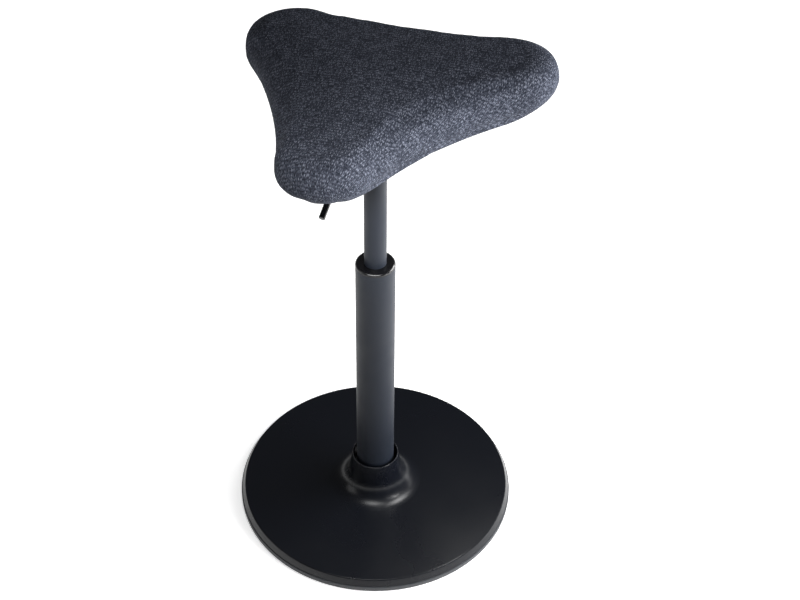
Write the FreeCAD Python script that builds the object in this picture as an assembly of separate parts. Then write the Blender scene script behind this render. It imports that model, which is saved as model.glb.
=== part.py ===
import FreeCAD
import Part
import math
import os

# Balance stool, in millimetres. The origin is the middle of the floor face, +Z is up,
# and the seat's front edge faces -Y. The height is the one that the stool is shown at.

Vector = FreeCAD.Vector
ORIGIN = Vector(0, 0, 0)
UP = Vector(0, 0, 1)
SIDEWAYS = Vector(1, 0, 0)

# Fits and clearances
press_gap = 0.05        # pressed, bonded or tapered faces
running_gap = 0.06      # round faces that slide or turn in each other
bolt_gap = 0.3          # a screw's shank in its clearance hole
soft_gap = 0.3          # foam and felt beside what they touch
end_gap = 0.1           # flat faces of the swivel, and the blind end of a screw hole
ball_gap = 0.025        # a bearing ball and each of its races

# Floor pad, ballast plate and edge ring
pad_thickness = 3.0
pad_margin = 8.0        # from the pad's edge out to the plate's edge
plate_radius = 180.0
plate_thickness = 6.0
edge_ring_lift = 0.8    # from the floor up to the ring
edge_ring_width = 4.9
edge_ring_rounding = 1.2
edge_groove = 0.8       # shadow line between the ring and the cover

# Base cover with its trumpet collar
cover_wall = 2.0
skirt_overhang = 3.6    # the skirt's foot past the plate's edge
rim_height = 8.4        # from the plate up to the rim
rim_lean = 4.2          # how far the rim lies inside the skirt's foot
rim_rounding = 1.8
rim_rib = 6.0           # width of the rib that stands on the plate
top_rise = 1.4          # from the rim up to the collar's foot
collar_height = 52.0
collar_spread = 8.5     # how much wider the collar is at its foot
collar_gap = 3.9        # between the lip and the outer tube, for the lean
flare_radius = 27.0
lip_rounding = 0.9
cover_screw_count = 6
cover_screw_inset = 30.0    # from the plate's edge in to the screws
cover_screw_radius = 2.0
cover_screw_head = 4.0
cover_screw_socket = 2.5
cover_screw_length = 10.0
cover_boss_radius = 5.5
screw_access_radius = 7.0

# Tilt bearing
elastomer_wall = 10.7
elastomer_height = 10.0
elastomer_pad = 3.0
elastomer_hole = 12.0
housing_wall = 3.5
housing_flange_width = 15.0
housing_flange_thickness = 4.0
housing_bolt_count = 4
housing_bolt_azimuth = 45.0
housing_bolt_radius = 3.0
housing_bolt_head = 5.5
housing_bolt_socket = 4.0

# Column
tube_radius = 25.0
tube_wall = 1.75
tube_top = 407.6
tube_foot = 2.0         # from the elastomer pad up to the tube's lower end
tube_lip_width = 4.0
tube_lip_height = 2.0
taper_length = 32.0
taper_drop = 0.8        # how much the tube's radius shrinks over its taper
socket_wall = 4.2
socket_height = 32.0
bush_length = 88.0
cap_height = 4.2
cap_overhang = 0.2
cap_rounding = 3.4
cap_groove_height = 0.5
cap_groove_depth = 0.9

# Swivel bearing at the foot of the column
end_plate_thickness = 4.0
race_thickness = 2.0
race_radius = 13.0
ball_radius = 2.0
ball_count = 9
cage_thickness = 1.6
cage_width = 5.4

# Gas rod
rod_radius = 5.0
journal_radius = 4.0
rod_tail = 3.4          # what stands out under the end plate
clip_thickness = 1.2
clip_radius = 6.5
clip_groove = 0.8
washer_thickness = 0.8
washer_radius = 9.0
bump_height = 28.0
bump_waist = 11.0       # radius half-way up, between its two wider ends
bump_waist_rounding = 7.0
bump_rounding = 1.0
piston_height = 12.0
piston_slack = 0.2
seal_height = 4.0
seal_depth = 2.0
nut_height = 5.0
nut_flats = 13.0
lift_left = 56.0        # from the gland's seal up to the piston, at the height shown

# Gas cylinder and its valve
cylinder_radius = 14.0
cylinder_wall = 1.5
cylinder_length = 393.0
cylinder_taper = 42.0
cylinder_taper_drop = 1.0
cylinder_lip = 1.5
cylinder_mouth = 9.0
gland_length = 20.0
gland_seal_height = 4.0
valve_length = 30.0
button_radius = 4.0
button_tip_radius = 3.0
button_tip_height = 4.0
button_length = 33.0
button_play = 0.5       # free play under the lever
button_room = 3.0       # room under the button for its stroke

# Seat carrier
carrier_steel = 3.0
carrier_length = 100.0
carrier_width = 90.0
carrier_rounding = 10.0
carrier_bolt_edge = 12.0
carrier_bolt_radius = 3.0
carrier_bolt_flats = 10.0
carrier_bolt_head = 4.0
hub_wall = 5.0          # round the widest part of the cylinder
hub_length = 27.0
cylinder_proud = 5.0    # the cylinder's end over the housing floor
lever_drop = 18.5       # lever axis under the carrier plate
lever_over_floor = 18.0

# Height lever
lever_azimuth = 209.0
lever_rod_radius = 2.5
lever_inner_reach = 5.0
lever_bend_place = 137.4
lever_bend_angle = 29.0
lever_bend_radius = 14.0
lever_tail = 21.8
grip_wall = 1.25
grip_start = 85.0
grip_end_wall = 2.5
grip_bevel = 0.7
pivot_past_hub = 8.0
pivot_radius = 2.0
pivot_head_radius = 3.4
pivot_head_height = 1.4
eye_radius = 5.0
eye_width = 8.0
ear_thickness = 3.0
ear_half_length = 5.0
ear_side_gap = 0.4
window_room = 2.4       # free height over and under the lever in the housing wall

# Padded seat
seat_height = 658.5     # height of the cushion's widest line over the floor
seat_slope = 5.0        # the seat falls towards its rear lobe
lobe_count = 3
rear_lobe_azimuth = 90.0
lobe_reach = 208.0
lobe_radius = 61.5
side_dip = 15.6         # how far each side is drawn in between its lobes
cushion_rise = 43.0
cushion_depth = 26.0
top_inset = 40.0
under_inset = 38.0
crown_rise = 7.0
edge_steps = 6          # outlines from the widest line to the flat, above and below
crown_steps = 5
fabric_thickness = 1.5
board_inset = 43.0
board_thickness = 12.0
foam_skirt = 6.0        # from the seat's underside up to the foam's lower edge
opening_scale = 0.85
tee_barrel_radius = 4.0
tee_barrel_length = 9.0
tee_flange_radius = 9.0
tee_flange_thickness = 1.2
staple_length = 10.0
staple_width = 1.3
staple_height = 0.6
staples_per_side = 7

# Heights that follow, from the floor up
plate_low = pad_thickness
plate_high = plate_low + plate_thickness
rim_level = plate_high + rim_height
collar_foot_level = rim_level + top_rise
lip_level = collar_foot_level + collar_height
elastomer_seat = plate_high + elastomer_pad
elastomer_high = elastomer_seat + elastomer_height
tube_low = elastomer_seat + tube_foot
taper_high = tube_low + taper_length
end_plate_low = tube_low + tube_lip_height
end_plate_high = end_plate_low + end_plate_thickness
lower_race_high = end_plate_high + race_thickness
upper_race_low = lower_race_high + 2 * ball_radius
upper_race_high = upper_race_low + race_thickness
cap_low = tube_top
cap_high = tube_top + cap_height

# Heights that follow, from the seat down
slope_stretch = 1 / math.cos(math.radians(seat_slope))
carrier_low = -cushion_depth - carrier_steel
lever_level = seat_height + carrier_low * slope_stretch - lever_drop
floor_high = lever_level - lever_over_floor
floor_low = floor_high - carrier_steel
hub_low = floor_low - hub_length
cylinder_high = floor_high + cylinder_proud
cylinder_low = cylinder_high - cylinder_length
cylinder_taper_low = cylinder_high - cylinder_taper
gland_high = cylinder_low + gland_length
gland_seal_high = gland_high + gland_seal_height
piston_low = gland_seal_high + lift_left
piston_high = piston_low + piston_height
valve_high = cylinder_high - cylinder_lip
valve_low = valve_high - valve_length
button_high = lever_level - lever_rod_radius - button_play
button_low = button_high - button_length

# Radii that follow
socket_radius = tube_radius + press_gap + socket_wall
elastomer_inner = socket_radius + press_gap
elastomer_outer = elastomer_inner + elastomer_wall
housing_inner = elastomer_outer + press_gap
housing_radius = housing_inner + housing_wall
housing_flange = housing_radius + housing_flange_width
housing_bolt_circle = housing_radius + housing_flange_width / 2
lip_inner = tube_radius + collar_gap
lip_outer = lip_inner + cover_wall
collar_foot = lip_outer + collar_spread
skirt_radius = plate_radius + skirt_overhang
rim_radius = skirt_radius - rim_lean
edge_ring_inner = plate_radius + press_gap
edge_ring_outer = plate_radius + edge_ring_width
cover_screw_circle = plate_radius - cover_screw_inset
ball_circle = (journal_radius + bolt_gap + race_radius) / 2
bore_radius = cylinder_radius - cylinder_wall
piston_radius = bore_radius - piston_slack
seal_radius = bore_radius - press_gap
hub_radius = cylinder_radius + hub_wall
pivot_place = hub_radius + pivot_past_hub
drum_inner = pivot_place + ear_half_length + carrier_steel
drum_radius = drum_inner + carrier_steel
grip_radius = lever_rod_radius + grip_wall
ear_inner = eye_width / 2 + ear_side_gap
ear_outer = ear_inner + ear_thickness

# Seat outline that follows: lobes of one radius, joined by long hollow sides
lobe_centre = lobe_reach - lobe_radius
half_turn = math.pi / lobe_count
waist = lobe_centre * math.cos(half_turn) + lobe_radius - side_dip
side_radius = (
    lobe_centre ** 2 + waist ** 2
    - 2 * lobe_centre * waist * math.cos(half_turn) - lobe_radius ** 2
) / (2 * side_dip)
side_centre = waist + side_radius
board_low = -cushion_depth + fabric_thickness
board_high = board_low + board_thickness


def disc(radius, low, high):
    """Upright cylinder on the column's axis."""
    return Part.makeCylinder(radius, high - low, Vector(0, 0, low))


def ring(inner, outer, low, high):
    """Upright ring on the column's axis."""
    return disc(outer, low, high).cut(disc(inner, low, high))


def around(count, circle, start=0.0):
    """Points spaced evenly round a circle, as (x, y)."""
    angles = [math.radians(start + 360.0 * i / count) for i in range(count)]
    return [(circle * math.cos(a), circle * math.sin(a)) for a in angles]


def corner_arc(before, corner, after, radius):
    """Start, middle and end of the arc that rounds a corner."""
    to_before = (before - corner).normalize()
    to_after = (after - corner).normalize()
    half = to_before.getAngle(to_after) / 2
    reach = radius / math.tan(half)
    inward = (to_before + to_after).normalize()
    middle = corner + inward * (radius / math.sin(half) - radius)
    return corner + to_before * reach, middle, corner + to_after * reach


def turned(corners):
    """Solid of revolution through (radius, height, rounding) corners."""
    points = [Vector(radius, 0, height) for radius, height, rounding in corners]
    turns = []
    for i, (radius, height, rounding) in enumerate(corners):
        if rounding:
            following = points[(i + 1) % len(points)]
            turns.append(corner_arc(points[i - 1], points[i], following, rounding))
        else:
            turns.append((points[i], None, points[i]))
    edges = []
    for i, (start, middle, end) in enumerate(turns):
        if middle is not None:
            edges.append(Part.Arc(start, middle, end).toShape())
        edges.append(Part.LineSegment(end, turns[(i + 1) % len(turns)][0]).toShape())
    return Part.Face(Part.Wire(edges)).revolve(ORIGIN, UP, 360)


def hexagon(flats, low, height):
    """Upright hexagonal prism on the column's axis."""
    corners = [Vector(x, y, low) for x, y in around(6, flats / math.sqrt(3))]
    return Part.Face(Part.makePolygon(corners + corners[:1])).extrude(Vector(0, 0, height))


def countersunk_screw(radius, head, socket, length, low):
    """Countersunk screw that points up, its head's face at the low level, with a hexagon socket."""
    sink = head - radius
    body = Part.makeCone(head, radius, sink, Vector(0, 0, low))
    body = body.fuse(disc(radius, low + sink, low + length)).removeSplitter()
    return body.cut(hexagon(socket, low, sink))


def countersunk_hole(radius, head, low, high):
    """What a countersunk screw's hole takes out of a plate."""
    sink = head - radius
    mouth = Part.makeCone(head + bolt_gap, radius + bolt_gap, sink, Vector(0, 0, low))
    return mouth.fuse(disc(radius + bolt_gap, low, high))


def copies(shape, places):
    """The shape at each (x, y) place."""
    moved = []
    for x, y in places:
        copy = shape.copy()
        copy.translate(Vector(x, y, 0))
        moved.append(copy)
    return moved


def tube_radius_at(level):
    """Outer radius of the outer tube, whose foot tapers."""
    fall = min(max((taper_high - level) / taper_length, 0.0), 1.0)
    return tube_radius - taper_drop * fall


def cylinder_radius_at(level):
    """Outer radius of the gas cylinder, whose top tapers."""
    fall = min(max((level - cylinder_taper_low) / cylinder_taper, 0.0), 1.0)
    return cylinder_radius - cylinder_taper_drop * fall


def cylinder_outside(growth):
    """The gas cylinder's outside, larger in radius by a growth."""
    return turned([
        (0, cylinder_low, 0),
        (cylinder_radius + growth, cylinder_low, 0),
        (cylinder_radius + growth, cylinder_taper_low, 0),
        (cylinder_radius_at(cylinder_high) + growth, cylinder_high, 0),
        (0, cylinder_high, 0),
    ])


def lobed_wire(inset, level, scale=1.0):
    """Seat outline drawn in by an inset: a rounded lobe and a hollow side in turn."""
    lobe = lobe_radius - inset
    edges = []
    for i in range(lobe_count):
        heading = math.radians(rear_lobe_azimuth) + 2 * i * half_turn

        def spot(turn, distance):
            angle = heading + turn
            return Vector(distance * math.cos(angle), distance * math.sin(angle), 0)

        def tangent(centre, hollow):
            return centre + (hollow - centre).normalize() * lobe

        here = spot(0, lobe_centre)
        start = tangent(here, spot(-half_turn, side_centre))
        end = tangent(here, spot(half_turn, side_centre))
        after = tangent(spot(2 * half_turn, lobe_centre), spot(half_turn, side_centre))
        tip = spot(0, lobe_centre + lobe)
        middle = spot(half_turn, waist - inset)
        edges.append(Part.Arc(start, tip, end).toShape())
        edges.append(Part.Arc(end, middle, after).toShape())
    wire = Part.Wire(edges)
    wire.scale(scale, ORIGIN)
    wire.translate(Vector(0, 0, level))
    return wire


def lobed_slab(inset, low, high, scale=1.0):
    """Flat slab with the seat's outline."""
    return Part.Face(lobed_wire(inset, low, scale)).extrude(Vector(0, 0, high - low))


def cushion(shrink):
    """Crowned cushion with soft edges, smaller all round by the shrink."""
    rise = cushion_rise - shrink
    depth = cushion_depth - shrink
    wires = []
    for step in range(-edge_steps, 0):
        turn = math.pi / 2 * step / edge_steps
        inset = shrink + under_inset * (1 - math.cos(turn))
        wires.append(lobed_wire(inset, depth * math.sin(turn)))
    for step in range(edge_steps + 1):
        turn = math.pi / 2 * step / edge_steps
        inset = shrink + top_inset * (1 - math.cos(turn))
        wires.append(lobed_wire(inset, rise * math.sin(turn)))
    for step in range(1, crown_steps):
        scale = 1 - step / crown_steps
        level = rise + crown_rise * (1 - scale ** 2)
        wires.append(lobed_wire(shrink + top_inset, level, scale))
    return Part.makeLoft(wires, True, True)


def seated(shape):
    """The shape moved from the seat's own level to its sloping place on the column."""
    moved = shape.copy()
    moved.rotate(ORIGIN, SIDEWAYS, -seat_slope)
    moved.translate(Vector(0, 0, seat_height))
    return moved


def swung(shape):
    """The shape turned from the +X axis to the lever's side of the seat."""
    moved = shape.copy()
    moved.rotate(ORIGIN, UP, lever_azimuth)
    return moved


def base_parts():
    """The weighted base that stands on the floor."""
    screws = around(cover_screw_count, cover_screw_circle)
    bolts = around(housing_bolt_count, housing_bolt_circle, housing_bolt_azimuth)
    pad = disc(plate_radius - pad_margin, 0, pad_thickness)
    pad = pad.cut(Part.Compound(copies(disc(screw_access_radius, 0, pad_thickness), screws)))
    screw_hole = countersunk_hole(cover_screw_radius, cover_screw_head, plate_low, plate_high)
    bolt_hole = countersunk_hole(housing_bolt_radius, housing_bolt_head, plate_low, plate_high)
    plate = disc(plate_radius, plate_low, plate_high)
    plate = plate.cut(Part.Compound(copies(screw_hole, screws) + copies(bolt_hole, bolts)))
    edge_ring = turned([
        (edge_ring_inner, edge_ring_lift, 0),
        (edge_ring_outer, edge_ring_lift, edge_ring_rounding),
        (edge_ring_outer, plate_high - edge_groove, edge_ring_rounding),
        (edge_ring_inner, plate_high - edge_groove, 0),
    ])
    screw = countersunk_screw(
        cover_screw_radius, cover_screw_head, cover_screw_socket, cover_screw_length, plate_low)
    bolt_length = plate_thickness + housing_flange_thickness
    bolt = countersunk_screw(
        housing_bolt_radius, housing_bolt_head, housing_bolt_socket, bolt_length, plate_low)
    flange = ring(housing_inner, housing_flange, plate_high, plate_high + housing_flange_thickness)
    flange_hole = disc(housing_bolt_radius + press_gap, plate_high, elastomer_high)
    housing = flange.fuse(ring(housing_inner, housing_radius, plate_high, elastomer_high))
    housing = housing.removeSplitter().cut(Part.Compound(copies(flange_hole, bolts)))
    return {
        "floor_pad": pad,
        "base_plate": plate,
        "edge_ring": edge_ring,
        "base_cover": base_cover(screws),
        "cover_screws": Part.Compound(copies(screw, screws)),
        "bearing_housing": housing,
        "housing_bolts": Part.Compound(copies(bolt, bolts)),
    }


def base_cover(screws):
    """Moulded cover: slanting rim, nearly flat top and a flared collar that ends in a rounded lip."""
    rib = rim_radius - rim_rib
    shell = turned([
        (skirt_radius, plate_high, 0),
        (rim_radius, rim_level, rim_rounding),
        (collar_foot, collar_foot_level, flare_radius),
        (lip_outer, lip_level, lip_rounding),
        (lip_inner, lip_level, lip_rounding),
        (collar_foot - cover_wall, collar_foot_level - cover_wall, flare_radius + cover_wall),
        (rib, rim_level - cover_wall, 0),
        (rib, plate_high, 0),
    ])
    boss_high = rim_level - cover_wall / 2
    boss = disc(cover_boss_radius, plate_high, boss_high)
    pilot_high = plate_low + cover_screw_length + end_gap
    pilot = disc(cover_screw_radius + press_gap, plate_high, pilot_high)
    shell = shell.fuse(copies(boss, screws)).removeSplitter()
    return shell.cut(Part.Compound(copies(pilot, screws)))


def tilt_parts():
    """Rubber bush that carries the column and lets it lean."""
    bush = ring(elastomer_hole, elastomer_outer, plate_high, elastomer_seat)
    wall = ring(elastomer_inner, elastomer_outer, elastomer_seat, elastomer_high)
    return {"elastomer_bearing": bush.fuse(wall).removeSplitter()}


def column_parts():
    """Outer tube of the gas lift, the sleeve that holds it and the fixed half of the swivel."""
    foot = tube_radius_at(tube_low)
    socket_high = elastomer_seat + socket_height
    socket = turned([
        (tube_radius_at(elastomer_seat) + press_gap, elastomer_seat, 0),
        (socket_radius, elastomer_seat, 0),
        (socket_radius, socket_high, 0),
        (tube_radius_at(socket_high) + press_gap, socket_high, 0),
        (foot + press_gap, tube_low, 0),
    ])
    plate_edge_low = tube_radius_at(end_plate_low) - tube_wall
    tube = turned([
        (foot, tube_low, 0),
        (tube_radius, taper_high, 0),
        (tube_radius, tube_top, 0),
        (tube_radius - tube_wall, tube_top, 0),
        (tube_radius - tube_wall, taper_high, 0),
        (plate_edge_low, end_plate_low, 0),
        (foot - tube_wall - tube_lip_width, end_plate_low, 0),
        (foot - tube_wall - tube_lip_width, tube_low, 0),
    ])
    sleeve = tube_radius - tube_wall - press_gap
    cap = tube_radius + cap_overhang
    bore = cylinder_radius + running_gap
    bush = turned([
        (bore, tube_top - bush_length, 0),
        (sleeve, tube_top - bush_length, 0),
        (sleeve, cap_low, 0),
        (cap - cap_groove_depth, cap_low, 0),
        (cap - cap_groove_depth, cap_low + cap_groove_height, 0),
        (cap, cap_low + cap_groove_height, 0),
        (cap, cap_high, cap_rounding),
        (bore, cap_high, 0),
    ])
    plate_edge_high = tube_radius_at(end_plate_high) - tube_wall
    end_plate = Part.makeCone(
        plate_edge_low - press_gap, plate_edge_high - press_gap, end_plate_thickness,
        Vector(0, 0, end_plate_low))
    end_plate = end_plate.cut(disc(journal_radius + running_gap, end_plate_low, end_plate_high))
    lower_race = ring(journal_radius + bolt_gap, race_radius, end_plate_high, lower_race_high)
    ball_level = (lower_race_high + upper_race_low) / 2
    ball_places = around(ball_count, ball_circle)
    ball = Part.makeSphere(ball_radius - ball_gap, Vector(0, 0, ball_level))
    cage_low = ball_level - cage_thickness / 2
    cage_high = ball_level + cage_thickness / 2
    cage = ring(ball_circle - cage_width / 2, ball_circle + cage_width / 2, cage_low, cage_high)
    pocket = disc(ball_radius + running_gap, cage_low, cage_high)
    cage = cage.cut(Part.Compound(copies(pocket, ball_places)))
    return {
        "taper_socket": socket,
        "outer_tube": tube,
        "guide_bush": bush,
        "tube_end_plate": end_plate,
        "lower_race": lower_race,
        "bearing_balls": Part.Compound(copies(ball, ball_places)),
        "ball_cage": cage,
    }


def gas_rod_parts():
    """Piston rod with its piston, and what turns with it on the thrust bearing."""
    rod_low = end_plate_low - rod_tail
    washer_high = end_plate_low - end_gap
    washer_low = washer_high - washer_thickness
    clip_low = washer_low - clip_thickness
    nut_high = piston_high + nut_height
    groove = journal_radius - clip_groove
    rod = disc(rod_radius, upper_race_high, piston_low)
    rod = rod.fuse(disc(journal_radius, rod_low, nut_high)).removeSplitter()
    rod = rod.cut(ring(groove, rod_radius, clip_low, washer_low))
    clip = ring(groove + press_gap, clip_radius, clip_low, washer_low)
    mouth = Part.makeBox(
        clip_radius, 2 * groove, clip_thickness, Vector(0, -groove, clip_low))
    clip = clip.cut(mouth)
    washer = ring(journal_radius + press_gap, washer_radius, washer_low, washer_high)
    upper_race = ring(journal_radius + press_gap, race_radius, upper_race_low, upper_race_high)
    bump_inner = rod_radius + press_gap
    bump = turned([
        (bump_inner, upper_race_high, 0),
        (race_radius, upper_race_high, 0),
        (bump_waist, upper_race_high + bump_height / 2, bump_waist_rounding),
        (race_radius, upper_race_high + bump_height, bump_rounding),
        (bump_inner, upper_race_high + bump_height, 0),
    ])
    seal_low = piston_low + (piston_height - seal_height) / 2
    seal_inner = seal_radius - seal_depth
    piston = ring(journal_radius + press_gap, piston_radius, piston_low, piston_high)
    piston = piston.cut(ring(seal_inner - press_gap, bore_radius, seal_low, seal_low + seal_height))
    seal = ring(seal_inner, seal_radius, seal_low, seal_low + seal_height)
    nut = hexagon(nut_flats, piston_high, nut_height)
    nut = nut.cut(disc(journal_radius + press_gap, piston_high, nut_high))
    return {
        "piston_rod": rod,
        "piston": piston,
        "piston_seal": seal,
        "piston_nut": nut,
        "upper_race": upper_race,
        "bump_stop": bump,
        "clip_washer": washer,
        "retaining_clip": clip,
    }


def gas_cylinder_parts():
    """Inner tube of the gas lift, which slides with the seat, and what closes its two ends."""
    hollow = turned([
        (0, cylinder_low, 0),
        (bore_radius, cylinder_low, 0),
        (bore_radius, cylinder_taper_low, 0),
        (cylinder_radius_at(valve_high) - cylinder_wall, valve_high, 0),
        (cylinder_mouth, valve_high, 0),
        (cylinder_mouth, cylinder_high, 0),
        (0, cylinder_high, 0),
    ])
    cylinder = cylinder_outside(0).cut(hollow)
    rod_bore = rod_radius + running_gap
    gland = ring(rod_bore, bore_radius - press_gap, cylinder_low, gland_high)
    gland_seal = ring(rod_bore, bore_radius - press_gap, gland_high, gland_seal_high)
    slack = cylinder_wall + press_gap
    valve = Part.makeCone(
        cylinder_radius_at(valve_low) - slack, cylinder_radius_at(valve_high) - slack,
        valve_length, Vector(0, 0, valve_low))
    bore_low = button_low - button_room
    valve = valve.cut(disc(button_radius + running_gap, bore_low, valve_high))
    return {
        "gas_cylinder": cylinder,
        "rod_gland": gland,
        "gland_seal": gland_seal,
        "valve_body": valve,
    }


def carrier_parts():
    """Steel carrier under the seat: hub, drum, plate, and the ears that hold the lever."""
    bolts = carrier_bolt_places()
    hub = disc(hub_radius, hub_low, floor_high).cut(cylinder_outside(press_gap))
    drum_high = seat_height
    drum = disc(drum_radius, floor_low, drum_high)
    drum = drum.cut(disc(drum_inner, floor_high, drum_high))
    drum = drum.cut(disc(hub_radius + press_gap, floor_low, floor_high))
    window_half = lever_rod_radius + window_room
    window = Part.makeBox(
        drum_radius, 2 * window_half, 2 * window_half,
        Vector(pivot_place, -window_half, lever_level - window_half))
    drum = drum.cut(swung(window))
    drum = drum.cut(seated(disc(2 * drum_radius, carrier_low, cushion_rise)))
    plate = Part.makeBox(
        carrier_length, carrier_width, carrier_steel,
        Vector(-carrier_length / 2, -carrier_width / 2, carrier_low))
    upright = [e for e in plate.Edges if abs(e.tangentAt(e.FirstParameter).z) > 0.9]
    plate = plate.makeFillet(carrier_rounding, upright)
    hole = disc(carrier_bolt_radius + bolt_gap, carrier_low, -cushion_depth)
    plate = plate.cut(Part.Compound(copies(hole, bolts)))
    bolt_high = board_low + tee_barrel_length
    bolt = hexagon(carrier_bolt_flats, carrier_low - carrier_bolt_head, carrier_bolt_head)
    bolt = bolt.fuse(disc(carrier_bolt_radius, carrier_low, bolt_high)).removeSplitter()
    ear_high = lever_level + eye_radius
    bracket = Part.makeBox(
        2 * ear_half_length, 2 * ear_outer, ear_high - floor_high,
        Vector(pivot_place - ear_half_length, -ear_outer, floor_high))
    slot_low = floor_high + ear_thickness
    bracket = bracket.cut(Part.makeBox(
        2 * ear_half_length, 2 * ear_inner, ear_high - slot_low,
        Vector(pivot_place - ear_half_length, -ear_inner, slot_low)))
    pin_hole = pivot_cylinder(pivot_radius + press_gap, -ear_outer, ear_outer)
    bracket = bracket.cut(pin_hole)
    pin = pivot_cylinder(pivot_radius, -ear_outer, ear_outer + pivot_head_height)
    head = pivot_cylinder(pivot_head_radius, ear_outer, ear_outer + pivot_head_height)
    far_head = pivot_cylinder(pivot_head_radius, -ear_outer - pivot_head_height, -ear_outer)
    pin = pin.fuse([head, far_head]).removeSplitter()
    return {
        "hub_cone": hub,
        "lift_housing": drum,
        "seat_plate": seated(plate),
        "plate_bolts": seated(Part.Compound(copies(bolt, bolts))),
        "lever_bracket": swung(bracket),
        "pivot_pin": swung(pin),
    }


def carrier_bolt_places():
    """The four bolts of the seat plate, in the seat's own level."""
    x = carrier_length / 2 - carrier_bolt_edge
    y = carrier_width / 2 - carrier_bolt_edge
    return [(x, y), (-x, y), (-x, -y), (x, -y)]


def pivot_cylinder(radius, start, end):
    """Cylinder along the lever's pivot, before the lever is swung to its side."""
    place = Vector(pivot_place, start, lever_level)
    return Part.makeCylinder(radius, end - start, place, Vector(0, 1, 0))


def seat_parts():
    """The upholstered seat: board, foam, fabric cover and the felt and staples under it."""
    bolts = carrier_bolt_places()
    fabric_high = board_low
    under = -cushion_depth
    cover = cushion(0).cut(cushion(fabric_thickness))
    cover = cover.cut(lobed_slab(under_inset, under, fabric_high, opening_scale))
    felt_scale = opening_scale - soft_gap / lobe_reach
    felt = lobed_slab(under_inset, under, fabric_high, felt_scale)
    bolt_hole = disc(carrier_bolt_radius + bolt_gap, under, fabric_high)
    felt = felt.cut(Part.Compound(copies(bolt_hole, bolts)))
    barrel_hole = disc(tee_barrel_radius + press_gap, board_low, board_high)
    board = lobed_slab(board_inset, board_low, board_high)
    board = board.cut(Part.Compound(copies(barrel_hole, bolts)))
    flange_high = board_high + tee_flange_thickness
    tee = disc(tee_flange_radius, board_high, flange_high)
    tee = tee.fuse(disc(tee_barrel_radius, board_high - tee_barrel_length, board_high))
    tee = tee.removeSplitter()
    tee = tee.cut(disc(carrier_bolt_radius + press_gap, board_low, flange_high))
    foam = cushion(fabric_thickness + soft_gap)
    foam = foam.cut(lobed_slab(board_inset - soft_gap, under, board_high))
    foam = foam.cut(disc(2 * lobe_reach, under, under + foam_skirt))
    recess = disc(tee_flange_radius + soft_gap, board_high, flange_high + soft_gap)
    foam = foam.cut(Part.Compound(copies(recess, bolts)))
    return {
        "seat_cover": seated(cover),
        "seat_foam": seated(foam),
        "seat_board": seated(board),
        "tee_nuts": seated(Part.Compound(copies(tee, bolts))),
        "dust_cover": seated(felt),
        "staples": seated(staples()),
    }


def staples():
    """Staple crowns in a row along each side of the felt's edge."""
    rail = lobed_wire(under_inset, -cushion_depth, opening_scale)
    crowns = []
    for side in rail.OrderedEdges[1::2]:
        for i in range(staples_per_side):
            share = (i + 0.5) / staples_per_side
            at = side.FirstParameter + share * (side.LastParameter - side.FirstParameter)
            along = side.tangentAt(at)
            crown = Part.makeBox(
                staple_length, staple_width, staple_height,
                Vector(-staple_length / 2, -staple_width / 2, -staple_height))
            crown.rotate(ORIGIN, UP, math.degrees(math.atan2(along.y, along.x)))
            crown.translate(side.valueAt(at))
            crowns.append(crown)
    return Part.Compound(crowns)


def lever_end(tail):
    """Middle of the face that ends the lever's bent-down tail."""
    fall = math.radians(lever_bend_angle)
    return Vector(
        lever_bend_place + tail * math.cos(fall), 0, lever_level - tail * math.sin(fall))


def lever_pipe(radius, start, tail):
    """Round bar along the lever's line: straight out from the hub, then bent down."""
    first = Vector(start, 0, lever_level)
    corner = Vector(lever_bend_place, 0, lever_level)
    last = lever_end(tail)
    arc_start, middle, arc_end = corner_arc(first, corner, last, lever_bend_radius)
    path = Part.Wire([
        Part.LineSegment(first, arc_start).toShape(),
        Part.Arc(arc_start, middle, arc_end).toShape(),
        Part.LineSegment(arc_end, last).toShape(),
    ])
    profile = Part.Wire([Part.Circle(first, SIDEWAYS, radius).toShape()])
    return path.makePipeShell([profile], True, False)


def lever_parts():
    """Height lever: a bent steel bar on its pivot, with a plastic grip over its outer end."""
    bar = lever_pipe(lever_rod_radius, -lever_inner_reach, lever_tail - grip_end_wall)
    bar = bar.fuse(pivot_cylinder(eye_radius, -eye_width / 2, eye_width / 2)).removeSplitter()
    bar = bar.cut(pivot_cylinder(pivot_radius + running_gap, -eye_width / 2, eye_width / 2))
    grip = lever_pipe(grip_radius, grip_start, lever_tail)
    tip = lever_end(lever_tail)
    outer_edge = min(grip.Edges, key=lambda e: e.CenterOfMass.distanceToPoint(tip))
    grip = grip.makeChamfer(grip_bevel, [outer_edge])
    room = lever_pipe(lever_rod_radius + press_gap, grip_start, lever_tail - grip_end_wall)
    return {"lever_rod": swung(bar), "lever_grip": swung(grip.cut(room))}


def valve_parts():
    """Release button on top of the gas cylinder, under the lever's inner end."""
    tip_low = button_high - button_tip_height
    button = turned([
        (0, button_low, 0),
        (button_radius, button_low, 0),
        (button_radius, tip_low, 0),
        (button_tip_radius, tip_low, 0),
        (button_tip_radius, button_high, button_play),
        (0, button_high, 0),
    ])
    return {"valve_button": button}


os.makedirs("parts", exist_ok=True)
groups = (
    base_parts, tilt_parts, column_parts, gas_rod_parts, gas_cylinder_parts,
    carrier_parts, seat_parts, lever_parts, valve_parts,
)
for group in groups:
    for name, shape in group().items():
        shape.exportStep(os.path.join("parts", name + ".step"))
        state = "valid" if shape.isValid() else "not valid"
        print(f"{name}: {len(shape.Solids)} solids, {shape.Volume / 1000:.2f} cm3, {state}")
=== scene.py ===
"""Looks of a balance stool: a three-lobed padded seat on a gas lift and a weighted round base."""

import logging
import math
from collections.abc import Sequence
from dataclasses import dataclass, field
from enum import Enum
from typing import Any

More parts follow.
